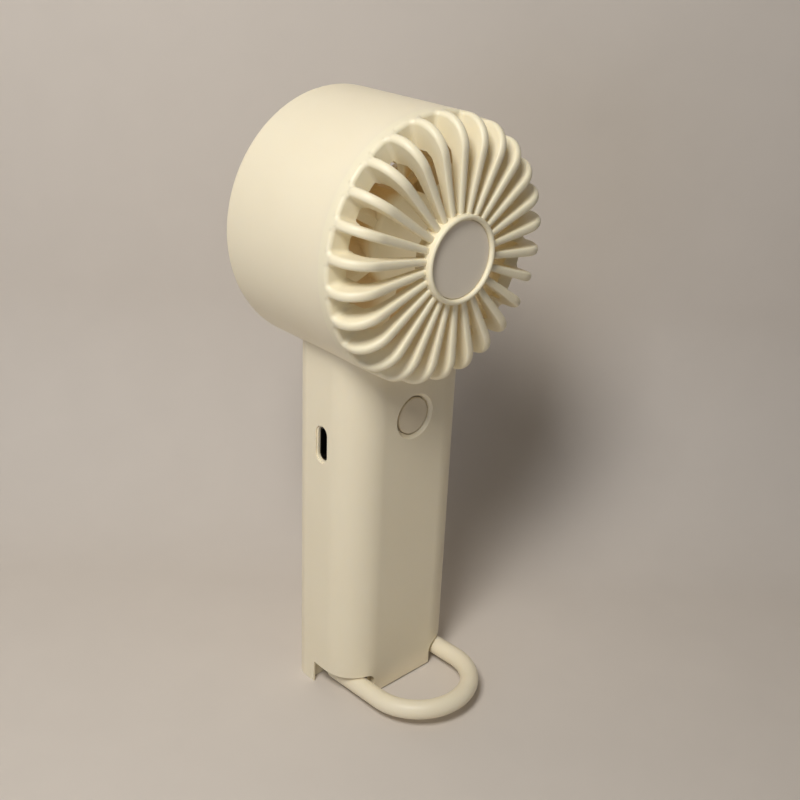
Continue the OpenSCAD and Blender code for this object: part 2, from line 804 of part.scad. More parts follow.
// Retaining ring on the rear end of the shaft
module shaft_clip() {
    color("gray") on_head()
        ring(shaft_r + run_gap / 2, shaft_r + clip_w, clip_front - clip_t, clip_front);
}

// Round button with a retaining flange and a stem to the switch
module power_button() {
    flange_front = -inside_half_d + fit_gap;
    color("antiquewhite") union() {
        along_y(0, button_z, button_r, -button_front, flange_front + lap);
        along_y(0, button_z, button_flange_r, flange_front, flange_front + button_flange_t);
        along_y(0, button_z, button_stem_r, flange_front, plunger_tip);
    }
}

// Plunger of the switch, pressed by the button's stem
module switch_plunger() {
    plunger_back = plunger_deep - switch_front - button_travel - free_gap;
    color("dimgray") along_y(0, button_z, plunger_r, plunger_tip, plunger_back);
}

// Push switch soldered to the front of the circuit board
module tact_switch() {
    color("gainsboro") difference() {
        block([-switch_w / 2, -switch_front, button_z - switch_w / 2],
            [switch_w / 2, board_front, button_z + switch_w / 2]);
        along_y(0, button_z, plunger_r + run_gap, -switch_front - reach, plunger_deep - switch_front);
    }
}

// Upright circuit board behind the button and the charging port
module circuit_board() {
    color("darkgreen") difference() {
        block([-board_half_w, board_front, board_z], [board_half_w, board_back, board_top]);
        for (side = [-1, 1]) {
            along_y(side * board_post_x, board_post_z, screw_r + fit_gap,
                board_front - reach, board_back + reach);
        }
    }
}

// Folded metal shell of the charging socket
module usb_socket() {
    color("silver") difference() {
        port_slot(usb_h, usb_t, -usb_mouth, -usb_mouth + usb_len);
        port_slot(usb_h - 2 * usb_wall, usb_t - 2 * usb_wall, -usb_mouth - reach, usb_floor);
    }
}

// Contact tongue in the middle of the charging socket
module usb_tongue() {
    color("black") block([usb_floor - tongue_len, port_back - tongue_t / 2, port_z - tongue_h / 2],
        [usb_floor, port_back + tongue_t / 2, port_z + tongue_h / 2]);
}

// Two screws that hold the circuit board to the inner frame
module board_screws() {
    color("silver") for (side = [-1, 1]) {
        along_y(side * board_post_x, board_post_z, screw_head_r, board_front - screw_head_t, board_front);
        along_y(side * board_post_x, board_post_z, screw_r - run_gap,
            board_front - lap, board_back + board_post_r);
    }
}

// Inner frame: battery cradle below, board carrier above
module inner_frame() {
    cheek_d = frame_d - cheek_inset;
    color("whitesmoke") difference() {
        union() {
            block([-frame_half_w, -frame_d, plug_top], [frame_half_w, frame_d, cell_z]);
            difference() {
                block([-frame_half_w, -cheek_d, plug_top], [frame_half_w, cheek_d, frame_top + frame_t]);
                translate([0, 0, cell_z]) cylinder(r = cell_r + free_gap, h = cell_len + free_gap);
            }
            block([-frame_half_w, back_plate_y, frame_top], [frame_half_w, frame_d, board_top - plate_drop]);
            block([-frame_half_w, cheek_d - lap, frame_top], [frame_half_w, frame_d, frame_top + frame_t]);
            for (side = [-1, 1]) {
                along_y(side * board_post_x, board_post_z, board_post_r, board_back, back_plate_y + lap);
            }
        }
        for (side = [-1, 1]) {
            along_y(side * board_post_x, board_post_z, screw_r, board_back - reach, back_plate_y);
        }
        translate([0, plus_y, frame_top - reach]) cylinder(r = lead_way, h = frame_t + 2 * reach);
        block([-frame_half_w - reach, minus_y - lead_way, cell_z],
            [minus_x + lead_way, minus_y + lead_way, frame_top + frame_t + reach]);
    }
}

// Lithium cell of the 18 by 50 mm size, with its raised positive end
module battery_cell() {
    color("steelblue") translate([0, 0, cell_z]) union() {
        cylinder(r = cell_r, h = cell_len - cap_h);
        cylinder(r = cell_r / 3, h = cell_len);
    }
}

// Leads from the two ends of the cell to the two faces of the circuit board
module battery_leads() {
    color("firebrick") {
        rod([0, plus_y, cell_top + fit_gap], [0, plus_y, board_z + plus_join], lead_r);
        rod([minus_x, minus_y, cell_z + fit_gap], [minus_x, minus_y, board_z + minus_join], lead_r);
    }
}

// Pair of leads from the back of the circuit board to the motor's ring board
module motor_leads() {
    color("black") for (side = [-1, 1]) {
        rod([side * lead_x, lead_y0, lead_z0], [side * lead_x, lead_y1, lead_z1], lead_r);
    }
}

// Plug that closes the foot: it carries the loop's pivots and the fan's weight
module base_plug() {
    inset = handle_wall + fit_gap;
    color("ivory") difference() {
        union() {
            translate([0, 0, plug_under]) linear_extrude(plug_top - plug_under) handle_outline(inset);
            intersection() {
                linear_extrude(plug_under + lap) handle_outline(inset);
                union() {
                    block([-handle_w, leg_front, -reach], [handle_w, handle_d, plug_under + reach]);
                    block([-plug_half_w, -handle_d, -reach],
                        [plug_half_w, leg_front + lap, plug_under + reach]);
                }
            }
        }
        translate([-handle_w, 0, pivot_z]) rotate([0, 90, 0])
            cylinder(r = pin_r + run_gap, h = 2 * handle_w);
        for (side = [-1, 1]) {
            translate([side * boss_screw_x, boss_screw_y, -reach]) {
                cylinder(r = screw_r + fit_gap, h = plug_top + 2 * reach);
                cylinder(r = screw_head_r + fit_gap, h = screw_seat + reach);
            }
        }
    }
}

// Two screws that hold the base plug to the bosses of the handle
module base_screws() {
    head_bottom = screw_seat - screw_head_t;
    color("silver") for (side = [-1, 1]) {
        translate([side * boss_screw_x, boss_screw_y, head_bottom]) {
            cylinder(r = screw_head_r, h = screw_head_t);
            cylinder(r = screw_r - run_gap, h = plug_top - head_bottom + boss_screw_len - screw_spare);
        }
    }
}

// U-shaped loop of round rod that swings on two pins in the base plug
module foot_loop() {
    color("ivory") translate([0, 0, pivot_z]) rotate([-loop_tilt, 0, 0]) union() {
        translate([0, -loop_arm, 0]) rotate(180)
            rotate_extrude(angle = 180) translate([loop_x, 0]) circle(rod_r);
        for (side = [-1, 1]) {
            translate([side * loop_x, 0, 0]) {
                rotate([90, 0, 0]) cylinder(r = rod_r, h = loop_arm);
                sphere(rod_r);
            }
            rod([side * loop_x, 0, 0], [side * (plug_half_w - pin_len), 0, 0], pin_r);
        }
    }
}

body_shell();
front_grille();
hub_badge();
rear_grille();
air_duct();
shaft_bearings();
stator_core();
stator_windings();
motor_board();
impeller();
rotor_shaft();
rotor_yoke();
magnet_ring();
shaft_clip();
power_button();
switch_plunger();
tact_switch();
circuit_board();
usb_socket();
usb_tongue();
board_screws();
inner_frame();
battery_cell();
battery_leads();
motor_leads();
base_plug();
base_screws();
foot_loop();
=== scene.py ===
import math

import bpy
from mathutils import Matrix, Vector


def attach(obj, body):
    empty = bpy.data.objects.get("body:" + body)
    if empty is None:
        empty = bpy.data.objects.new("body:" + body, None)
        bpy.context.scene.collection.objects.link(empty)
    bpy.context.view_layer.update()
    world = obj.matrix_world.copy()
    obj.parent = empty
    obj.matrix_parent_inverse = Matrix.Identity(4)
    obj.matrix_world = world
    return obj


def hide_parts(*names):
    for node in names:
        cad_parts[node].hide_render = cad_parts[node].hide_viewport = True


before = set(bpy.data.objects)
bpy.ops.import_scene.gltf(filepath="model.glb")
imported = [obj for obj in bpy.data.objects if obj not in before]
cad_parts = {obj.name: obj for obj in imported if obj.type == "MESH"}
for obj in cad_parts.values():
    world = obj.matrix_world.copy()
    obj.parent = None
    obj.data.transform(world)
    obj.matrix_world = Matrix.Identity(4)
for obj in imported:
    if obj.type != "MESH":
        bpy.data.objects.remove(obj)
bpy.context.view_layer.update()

# Body shell: the head's drum and the hollow handle, one injection moulding in ivory ABS.
# The tool's parting edges are softly broken, and the skin has the fine satin of an etched tool.
# A dish surrounds the button's hole, and the foot is open for the base plug and the loop.
MM = 0.001
WELD = 0.002
FLUSH = 0.01
FLAT_DEG = 0.4
SHARP_DEG = 35
CLOUD = 18
SHELL_SHARP_DEG = 24
SHELL_EDGE = 0.3
DRUM_FRONT = 12.0
HANDLE_FRONT = 11.6
BUTTON_Z = 80.8
DISH_R = 6.0
DISH_IN_R = 5.05
DISH_DEPTH = 1.3
LEG_MOUTH_X = (10.6, 19.0)
LEG_MOUTH_Y = (2.0, 4.6)
LEG_MOUTH_Z = (-1.0, 5.6)
TAB_GAP_X = (-12.0, 12.0)
TAB_GAP_Y = (-13.0, -9.7)
TAB_GAP_Z = (-1.0, 0.5)


def linear(hex_colour):
    """Turn an sRGB hex colour into a linear RGBA value."""
    channels = [int(hex_colour[i:i + 2], 16) / 255 for i in (1, 3, 5)]
    return [c / 12.92 if c <= 0.04045 else ((c + 0.055) / 1.055) ** 2.4 for c in channels] + [1]


def add_node(tree, kind, values=None, links=None, **settings):
    """Add one shader node with its settings, its input values and its incoming links."""
    node = tree.nodes.new(kind)
    for name, value in settings.items():
        setattr(node, name, value)
    for name, value in (values or {}).items():
        node.inputs[name].default_value = value
    for name, output in (links or {}).items():
        tree.links.new(output, node.inputs[name])
    return node


def moulded_plastic(name, colour, dark_colour, roughness, grain_mm, grain_height_mm, glow=0.0):
    """Moulded plastic: a faint cloud of colour over the part and a fine etched grain in its skin."""
    material = bpy.data.materials.new(name)
    material.use_nodes = True
    tree = material.node_tree
    shader = tree.nodes["Principled BSDF"]
    place = add_node(tree, "ShaderNodeTexCoord").outputs["Object"]
    cloud = add_node(tree, "ShaderNodeTexNoise", {"Scale": 1 / (CLOUD * MM), "Detail": 3}, {"Vector": place})
    tint = add_node(tree, "ShaderNodeMix", {"A": linear(dark_colour), "B": linear(colour)},
                    {"Factor": cloud.outputs["Fac"]}, data_type="RGBA")
    grain = add_node(tree, "ShaderNodeTexNoise", {"Scale": 1 / (grain_mm * MM), "Detail": 2},
                     {"Vector": place})
    sheen = add_node(tree, "ShaderNodeMapRange", {"To Min": roughness - 0.06, "To Max": roughness + 0.06},
                     {"Value": grain.outputs["Fac"]})
    bump = add_node(tree, "ShaderNodeBump", {"Strength": 0.6, "Distance": grain_height_mm * MM},
                    {"Height": grain.outputs["Fac"]})
    tree.links.new(tint.outputs["Result"], shader.inputs["Base Color"])
    tree.links.new(sheen.outputs["Result"], shader.inputs["Roughness"])
    tree.links.new(bump.outputs["Normal"], shader.inputs["Normal"])
    shader.inputs["IOR"].default_value = 1.53
    if glow:
        shader.inputs["Subsurface Weight"].default_value = glow
        shader.inputs["Subsurface Radius"].default_value = (0.9, 0.85, 0.7)
        shader.inputs["Subsurface Scale"].default_value = 0.6 * MM
    return material


def start_edit(piece):
    """Make one object the only selected one and open it in edit mode with nothing selected."""
    bpy.ops.object.select_all(action="DESELECT")
    piece.select_set(True)
    bpy.context.view_layer.objects.active = piece
    bpy.ops.object.mode_set(mode="EDIT")
    bpy.ops.mesh.select_all(action="DESELECT")


def apply_modifiers(piece):
    """Apply every modifier of a piece in order."""
    bpy.ops.object.select_all(action="DESELECT")
    piece.select_set(True)
    bpy.context.view_layer.objects.active = piece
    for modifier in list(piece.modifiers):
        bpy.ops.object.modifier_apply(modifier=modifier.name)


def smooth(piece, angle_deg=SHARP_DEG):
    """Shade a piece smooth up to an angle, with its flat faces kept flat beside their rounded edges."""
    bpy.ops.object.select_all(action="DESELECT")
    piece.select_set(True)
    bpy.context.view_layer.objects.active = piece
    bpy.ops.object.shade_smooth_by_angle(angle=math.radians(angle_deg))
    flats = piece.modifiers.new("flat faces", "WEIGHTED_NORMAL")
    flats.keep_sharp = True
    apply_modifiers(piece)


def cad_copy(node, name):
    """Copy a CAD solid and weld its triangles into faces."""
    piece = bpy.data.objects.new(name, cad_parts[node].data.copy())
    bpy.context.scene.collection.objects.link(piece)
    start_edit(piece)
    bpy.ops.mesh.select_all(action="SELECT")
    bpy.ops.mesh.remove_doubles(threshold=WELD * MM)
    bpy.ops.mesh.dissolve_limited(angle_limit=math.radians(FLAT_DEG))
    bpy.ops.object.mode_set(mode="OBJECT")
    return piece


def break_edges(piece, edge_mm, sharp_deg=SHARP_DEG, flush_mm=None):
    """Round a piece's sharp edges.

    Edges that lie in the upright plane flush_mm forward meet the next piece flush and stay sharp.
    """
    start_edit(piece)
    bpy.ops.mesh.select_mode(type="EDGE")
    bpy.ops.mesh.edges_select_sharp(sharpness=math.radians(sharp_deg))
    bpy.ops.object.mode_set(mode="OBJECT")
    weights = piece.data.attributes.new("bevel_weight_edge", "FLOAT", "EDGE")
    for edge in piece.data.edges:
        forward = [-piece.data.vertices[index].co.y / MM for index in edge.vertices]
        flush = flush_mm is not None and max(abs(s - flush_mm) for s in forward) < FLUSH
        weights.data[edge.index].value = 1.0 if edge.select and not flush else 0.0
    soften = piece.modifiers.new("broken edges", "BEVEL")
    soften.width = edge_mm * MM
    soften.segments = 3
    soften.limit_method = "WEIGHT"
    apply_modifiers(piece)


def combine(piece, other, operation):
    """Add another solid to a piece or cut it out, and remove the other one."""
    step = piece.modifiers.new("join", "BOOLEAN")
    step.operation = operation
    step.solver = "EXACT"
    step.object = other
    apply_modifiers(piece)
    bpy.data.objects.remove(other)


def cut_box(piece, *spans):
    """Cut a box out of a piece, given the box's low and high end on each axis."""
    bpy.ops.object.select_all(action="DESELECT")
    bpy.ops.mesh.primitive_cube_add(size=1, location=[(low + high) / 2 * MM for low, high in spans])
    box = bpy.context.active_object
    box.scale = [(high - low) * MM for low, high in spans]
    bpy.ops.object.transform_apply(location=True, rotation=True, scale=True)
    combine(piece, box, "DIFFERENCE")


def cut_leg_mouths(piece):
    """Hollow the front of both rear legs, down to a thin outer skin."""
    low, high = LEG_MOUTH_X
    cut_box(piece, (low, high), LEG_MOUTH_Y, LEG_MOUTH_Z)
    cut_box(piece, (-high, -low), LEG_MOUTH_Y, LEG_MOUTH_Z)


def cut_dish(piece):
    """Cut the dished rim round the button's hole."""
    bpy.ops.object.select_all(action="DESELECT")
    bpy.ops.mesh.primitive_cone_add(vertices=96, radius1=DISH_IN_R * MM,
                                    radius2=(2 * DISH_R - DISH_IN_R) * MM, depth=2 * DISH_DEPTH * MM,
                                    location=(0, -HANDLE_FRONT * MM, BUTTON_Z * MM),
                                    rotation=(math.pi / 2, 0, 0))
    dish = bpy.context.active_object
    bpy.ops.object.transform_apply(location=True, rotation=True, scale=True)
    combine(piece, dish, "DIFFERENCE")


def finish_piece(piece, body, slot, material, *nodes):
    """Give a finished piece its material and its body, and hide the nodes it stands for. The slot is not
    used.
    """
    piece.data.materials.clear()
    piece.data.materials.append(material)
    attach(piece, body)
    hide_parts(*nodes)


# Satin ABS in ivory: the etched tool leaves a grain too fine to see singly, drawn here at 0.35 mm.
ivory_abs = moulded_plastic("ivory satin ABS", "#F6EBD0", "#F2E6C9", roughness=0.46,
                            grain_mm=0.35, grain_height_mm=0.012, glow=0.4)
shell = cad_copy("body_shell", "shell_moulding")
cut_dish(shell)
# The front tab ends just above the floor, because the base plug behind it carries the fan.
cut_box(shell, TAB_GAP_X, TAB_GAP_Y, TAB_GAP_Z)
break_edges(shell, SHELL_EDGE, SHELL_SHARP_DEG, DRUM_FRONT)
cut_leg_mouths(shell)
smooth(shell, SHELL_SHARP_DEG)
finish_piece(shell, "housing", "ivory_shell", ivory_abs, "body_shell")

# Air duct: a plain moulded tube behind the grille, with the motor's struts and bearing tube.
# It is ivory ABS like the shell, left with the smoother skin of an unetched tool.
DUCT_EDGE = 0.2
# Strength of the painted warm glow inside the duct.
DUCT_PAINTED_GLOW = 0.06
# Unetched ABS: evener than the shell's satin, with a slightly duller sheen.
duct_abs = moulded_plastic("smooth ivory ABS of the duct", "#E6DBC4", "#E0D4BC", roughness=0.5,
                           grain_mm=0.6, grain_height_mm=0.006, glow=0.4)
# Painted light: a dim warm emission on the duct stands in for the daylight that soaks through the thin ivory
# walls into the head.
duct_shader = duct_abs.node_tree.nodes["Principled BSDF"]
duct_shader.inputs["Emission Color"].default_value = linear("#FFD890")
duct_shader.inputs["Emission Strength"].default_value = DUCT_PAINTED_GLOW
duct = cad_copy("air_duct", "duct_moulding")
break_edges(duct, DUCT_EDGE)
smooth(duct)
finish_piece(duct, "housing", "duct_plastic", duct_abs, "air_duct")

# Motor inside the impeller hub: sintered bronze bearings, an iron core with copper coils,
# a ring board, and the steel shaft, cup, magnets and clip that turn with the impeller.


def plain_metal(name, colour, roughness, grain_mm):
    """Bare or enamelled metal with a fine uneven sheen."""
    material = bpy.data.materials.new(name)
    material.use_nodes = True
    tree = material.node_tree
    shader = tree.nodes["Principled BSDF"]
    place = add_node(tree, "ShaderNodeTexCoord").outputs["Object"]
    grain = add_node(tree, "ShaderNodeTexNoise", {"Scale": 1 / (grain_mm * MM), "Detail": 3},
                     {"Vector": place})
    sheen = add_node(tree, "ShaderNodeMapRange", {"To Min": roughness - 0.08, "To Max": roughness + 0.08},
                     {"Value": grain.outputs["Fac"]})
    tree.links.new(sheen.outputs["Result"], shader.inputs["Roughness"])
    shader.inputs["Base Color"].default_value = linear(colour)
    shader.inputs["Metallic"].default_value = 1.0
    return material


def dress(material, *nodes):
    """Give CAD solids that stay as they are their material."""
    for node in nodes:
        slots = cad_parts[node].data.materials
        slots.clear()
        slots.append(material)


# Rolled steel: bright, with a slightly uneven shine.
bright_steel = plain_metal("bright rolled steel", "#C9CACB", roughness=0.3, grain_mm=0.4)
dress(bright_steel, "rotor_shaft", "rotor_yoke", "shaft_clip", "tact_switch", "board_screws", "base_screws")
# Sintered bronze is dull and finely pored, at the size of its powder.
bronze = plain_metal("sintered bronze", "#B8924F", roughness=0.5, grain_mm=0.1)
dress(bronze, "shaft_bearings")
# Core iron is dark and uneven from one 0.35 mm sheet to the next.
core_iron = plain_metal("laminated core iron", "#55565A", roughness=0.55, grain_mm=0.35)
dress(core_iron, "stator_core", "magnet_ring")
# Enamelled wire shines through its lacquer, strand by 0.2 mm strand.
copper_wire = plain_metal("enamelled copper wire", "#B86F3C", roughness=0.35, grain_mm=0.2)
dress(copper_wire, "stator_windings")
# Board lacquer is a thin glossy green over the weave of the glass cloth.
board_lacquer = moulded_plastic("green board lacquer", "#1D5B38", "#174C2E", roughness=0.35,
                                grain_mm=0.5, grain_height_mm=0.004)
dress(board_lacquer, "motor_board", "circuit_board")

# Impeller: hub cup and seven twisted blades moulded in one, pressed onto the motor's shaft.
# It is the same ivory plastic with a smoother, slightly glossier skin.
IMPELLER_SHARP_DEG = 40
# Depths at which the impeller's painted light turns from pale to brown, and the strength of that painted
# light.
PAINTED_PALE_FRONT = 6.6
PAINTED_BROWN_FRONT = 3.2
IMPELLER_PAINTED_LIGHT = 0.13
# Polished tool, so the blades shine a little more clearly than the shell.
impeller_abs = moulded_plastic("smooth ivory ABS of the impeller", "#ECE2CD", "#E7DCC5", roughness=0.4,
                               grain_mm=0.5, grain_height_mm=0.004, glow=0.4)
# Painted light: an emission, pale at the front of the hub and brown deeper in,
# stands in for the daylight that comes in through the grille and turns warm between the walls.
impeller_tree = impeller_abs.node_tree
impeller_shader = impeller_tree.nodes["Principled BSDF"]
place = add_node(impeller_tree, "ShaderNodeTexCoord").outputs["Object"]
place = add_node(impeller_tree, "ShaderNodeSeparateXYZ", links={"Vector": place})
deep = add_node(impeller_tree, "ShaderNodeMapRange",
                {"From Min": -PAINTED_PALE_FRONT * MM, "From Max": -PAINTED_BROWN_FRONT * MM}, {"Value": place.outputs["Y"]})
painted_inner_light = add_node(impeller_tree, "ShaderNodeMix", {"A": linear("#FFF2BE"), "B": linear("#B08038")},
                       {"Factor": deep.outputs["Result"]}, data_type="RGBA")
impeller_tree.links.new(painted_inner_light.outputs["Result"], impeller_shader.inputs["Emission Color"])
impeller_shader.inputs["Emission Strength"].default_value = IMPELLER_PAINTED_LIGHT
impeller = cad_copy("impeller", "impeller_moulding")
smooth(impeller, IMPELLER_SHARP_DEG)
finish_piece(impeller, "impeller", "impeller_plastic", impeller_abs, "impeller")

# Rear grille: a snap-in cover with radial intake slots round a closed middle, moulded in ivory ABS.
# Its slot edges are broken so that they do not catch on cloth.
REAR_EDGE = 0.3
rear_cover = cad_copy("rear_grille", "rear_cover")
break_edges(rear_cover, REAR_EDGE)
smooth(rear_cover)
finish_piece(rear_cover, "housing", "ivory_shell", ivory_abs, "rear_grille")

# Front grille: 26 deep fins between a hub ring and a rim, one moulding in the shell's ivory ABS.
# Each fin grows out of the drum's wall, turns over a round shoulder and runs straight to the hub.
# The slots between them have rounded ends, and every outer edge is rounded over.
HEAD_Z = 124.4
HEAD_R = 31.5
FIN_COUNT = 26
FIN_RIM_T = 2.4
FIN_HUB_T = 1.6
FIN_ROOT_R = 9.8
FIN_FRONT = 23.3
FIN_ROOT_BLANK_T = 2.1
FIN_ROUND = 1.0
FIN_MIDDLE_RADII = (18.0, 13.0)
FIN_EDGE_DEG = 60
SHOULDER_R = 7.0
SHOULDER_STEPS = 10
SLOT_START = 14.8
SLOT_CORNER_R = 1.0
FLANGE_BACK = 12.4
FLANGE_IN_R = 25.0
SPIGOT_IN_R = 28.0
SPIGOT_R = 29.2
SPIGOT_BACK = 8.0
FIN_BACK_RIM = 18.2
FIN_BACK_HUB = 21.4
FIN_BACK_CURVE = 0.35
RIM_SPLITS = (0.45, 0.75)
WINDOW_R = 26.0
WINDOW_IN_R = 23.0
WINDOW_CORNER_R = 1.0
WINDOW_LEDGE = 0.05
WINDOW_CUT_DEPTH = 8.0
HUB_RING_R = 10.4
HUB_RING_IN_R = 9.2
HUB_RING_FRONT = 24.6
HUB_RING_BACK = 19.7
HUB_FLOOR_BACK = 21.4
HUB_FLOOR_FRONT = 22.6
BEAD_R = (HUB_RING_R - HUB_RING_IN_R) / 2
NEAR = 0.05
SAME_TURN = 0.001
head_centre = Vector((0, 0, HEAD_Z * MM))


def on_head(radius, forward, turn=0.0):
    """Point of the head from its radius, its distance forward and its turn from straight up."""
    return Vector((radius * math.sin(turn) * MM, -forward * MM, (HEAD_Z + radius * math.cos(turn)) * MM))


def arc(centre_r, centre_s, radius, start_deg, end_deg, steps):
    """Points of an arc in a half section, as radius and distance forward."""
    turn = [math.radians(start_deg + (end_deg - start_deg) * i / steps) for i in range(steps + 1)]
    return [(centre_r + radius * math.cos(t), centre_s + radius * math.sin(t)) for t in turn]


def new_piece(name, points, edges, faces):
    """Make an object from points and what joins them."""
    mesh = bpy.data.meshes.new(name)
    mesh.from_pydata(points, edges, faces)
    piece = bpy.data.objects.new(name, mesh)
    bpy.context.scene.collection.objects.link(piece)
    return piece


def spun(name, outline, centre, steps):
    """Turn a closed outline once round the front-to-back axis through a centre."""
    count = len(outline)
    piece = new_piece(name, outline, [(i, (i + 1) % count) for i in range(count)], [])
    start_edit(piece)
    bpy.ops.mesh.select_all(action="SELECT")
    bpy.ops.mesh.spin(steps=steps, angle=2 * math.pi, center=centre, axis=(0, 1, 0))
    bpy.ops.mesh.select_all(action="SELECT")
    bpy.ops.mesh.remove_doubles(threshold=WELD * MM)
    bpy.ops.mesh.delete_loose()
    bpy.ops.mesh.select_all(action="SELECT")
    bpy.ops.mesh.normals_make_consistent(inside=False)
    bpy.ops.object.mode_set(mode="OBJECT")
    return piece


def ring_of(piece, count, first_turn):
    """Copy a piece round the head's axis and join the copies into one object."""
    copies = []
    for index in range(count):
        copy = bpy.data.objects.new(piece.name, piece.data.copy())
        bpy.context.scene.collection.objects.link(copy)
        turn = Matrix.Rotation(first_turn + index * 2 * math.pi / count, 4, "Y")
        copy.data.transform(Matrix.Translation(head_centre) @ turn @ Matrix.Translation(-head_centre))
        copies.append(copy)
    bpy.data.objects.remove(piece)
    bpy.ops.object.select_all(action="DESELECT")
    for copy in copies:
        copy.select_set(True)
    bpy.context.view_layer.objects.active = copies[0]
    bpy.ops.object.join()
    return copies[0]


def fin_half(radius, root_t):
    """Half of a fin's thickness at a radius, for a thickness at its root."""
    share = (radius - FIN_ROOT_R) / (HEAD_R - FIN_ROOT_R)
    return (root_t + (FIN_RIM_T - root_t) * share) / 2


def grille_sector():
    """One fin with its share of the rim, before its edges are rounded."""
    fin_turn = math.asin(FIN_RIM_T / 2 / HEAD_R)
    side_turn = math.pi / FIN_COUNT
    turns = [fin_turn + (side_turn - fin_turn) * share for share in (0, *RIM_SPLITS, 1)]
    turns = [-turn for turn in reversed(turns)] + [0] + turns
    rim = [(HEAD_R, SLOT_START), (FLANGE_IN_R, SLOT_START), (FLANGE_IN_R, FLANGE_BACK),
           (SPIGOT_IN_R, FLANGE_BACK), (SPIGOT_IN_R, SPIGOT_BACK), (SPIGOT_R, SPIGOT_BACK),
           (SPIGOT_R, DRUM_FRONT), (HEAD_R, DRUM_FRONT)]
    points = [on_head(r, s, turn) for turn in turns for r, s in rim]
    size = len(rim)
    # The fin stands on the three middle columns of its share of the rim.
    fin_columns = (3, 4, 5)
    faces = []
    for column in range(len(turns) - 1):
        for row in range(size):
            if row == 0 and column in fin_columns[:2]:
                continue
            a = column * size + row
            b = column * size + (row + 1) % size
            faces.append((a, b, b + size, a + size))
    outer = arc(HEAD_R - SHOULDER_R, FIN_FRONT - SHOULDER_R, SHOULDER_R, 0, 90, steps=SHOULDER_STEPS)
    outer += [(radius, FIN_FRONT) for radius in (*FIN_MIDDLE_RADII, FIN_ROOT_R)]
    last = len(outer) - 1
    before = [column * size for column in fin_columns] + [column * size + 1 for column in fin_columns]
    for index, (r, s) in enumerate(outer):
        share = index / last
        rise = share ** FIN_BACK_CURVE
        back = (FLANGE_IN_R + (FIN_ROOT_R - FLANGE_IN_R) * share,
                FIN_BACK_RIM + (FIN_BACK_HUB - FIN_BACK_RIM) * rise)
        first = len(points)
        for radius, forward in ((r, s), back):
            for side in (-1, 0, 1):
                turn = side * math.asin(fin_half(radius, FIN_ROOT_BLANK_T) / radius)
                points.append(on_head(radius, forward, turn))
        now = list(range(first, first + 6))
        faces.append((before[0], now[0], now[3], before[3]))
        faces.append((before[2], before[5], now[5], now[2]))
        for k in (0, 1):
            faces.append((before[k], before[k + 1], now[k + 1], now[k]))
            faces.append((before[k + 3], now[k + 3], now[k + 4], before[k + 4]))
        before = now
    faces.append((before[0], before[1], before[4], before[3]))
    faces.append((before[1], before[2], before[5], before[4]))
    return new_piece("grille_sector", points, [], faces)


def from_fin(point):
    """Place of a point against its nearest fin: radius, distance forward, turn off the fin, fin's turn."""
    step = 2 * math.pi / FIN_COUNT
    up = point.z / MM - HEAD_Z
    turn = math.atan2(point.x / MM, up)
    fin_turn = round(turn / step) * step
    return math.hypot(point.x / MM, up), -point.y / MM, turn - fin_turn, fin_turn


def choose_edges(piece, wanted):
    """Keep selected only the edges whose two ends, placed against their fin, satisfy a test."""
    bpy.ops.object.mode_set(mode="OBJECT")
    chosen = []
    for edge in piece.data.edges:
        start, end = (from_fin(piece.data.vertices[index].co) for index in edge.vertices)
        if edge.select and wanted(start, end):
            chosen.append(edge.index)
    bpy.ops.object.mode_set(mode="EDIT")
    bpy.ops.mesh.select_all(action="DESELECT")
    bpy.ops.object.mode_set(mode="OBJECT")
    for index in chosen:
        piece.data.edges[index].select = True
    bpy.ops.object.mode_set(mode="EDIT")
    bpy.ops.mesh.select_mode(type="EDGE")


def outside(radius, forward):
    """True for a point on the drum's wall, the shoulder or the front of the fins."""
    arm = (radius - HEAD_R + SHOULDER_R, forward - FIN_FRONT + SHOULDER_R)
    on_shoulder = min(arm) > -NEAR and abs(math.hypot(*arm) - SHOULDER_R) < NEAR
    return on_shoulder or abs(radius - HEAD_R) < NEAR or abs(forward - FIN_FRONT) < NEAR


def is_slot_corner(start, end):
    """True for the inner corner between a fin's side and the rim."""
    level = max(abs(start[1] - SLOT_START), abs(end[1] - SLOT_START)) < NEAR
    radial = abs(start[0] - end[0]) > 1 and abs(start[2] - end[2]) < SAME_TURN
    return level and radial and abs(start[2]) < 1.1 * FIN_RIM_T / 2 / HEAD_R


def is_outline(start, end):
    """True for an outer edge of a fin or of a slot's end."""
    shown = min(start[1], end[1]) > DRUM_FRONT + 1 and max(start[0], end[0]) > FIN_ROOT_R + NEAR
    return shown and outside(*start[:2]) and outside(*end[:2])


def is_window_corner(start, end):
    """True for an outer corner of an air window."""
    return min(start[0], end[0]) > WINDOW_R - NEAR and start[2] * end[2] > 0


def round_grille(piece):
    """Round the slots' end corners, then every outer edge, and thin the fins towards the hub."""
    start_edit(piece)
    bpy.ops.mesh.select_mode(type="EDGE")
    bpy.ops.mesh.edges_select_sharp(sharpness=math.radians(FIN_EDGE_DEG))
    choose_edges(piece, is_slot_corner)
    bpy.ops.mesh.bevel(offset=SLOT_CORNER_R * MM, segments=4, affect="EDGES")
    bpy.ops.mesh.select_all(action="DESELECT")
    bpy.ops.mesh.edges_select_sharp(sharpness=math.radians(FIN_EDGE_DEG))
    choose_edges(piece, is_outline)
    bpy.ops.mesh.bevel(offset=FIN_ROUND * MM, segments=5, affect="EDGES")
    bpy.ops.object.mode_set(mode="OBJECT")
    for vertex in piece.data.vertices:
        radius, forward, off_fin, fin_turn = from_fin(vertex.co)
        if forward > SLOT_START + SLOT_CORNER_R + NEAR:
            thin = fin_half(radius, FIN_HUB_T) / fin_half(radius, FIN_ROOT_BLANK_T)
            vertex.co = on_head(radius, forward, fin_turn + off_fin * thin)


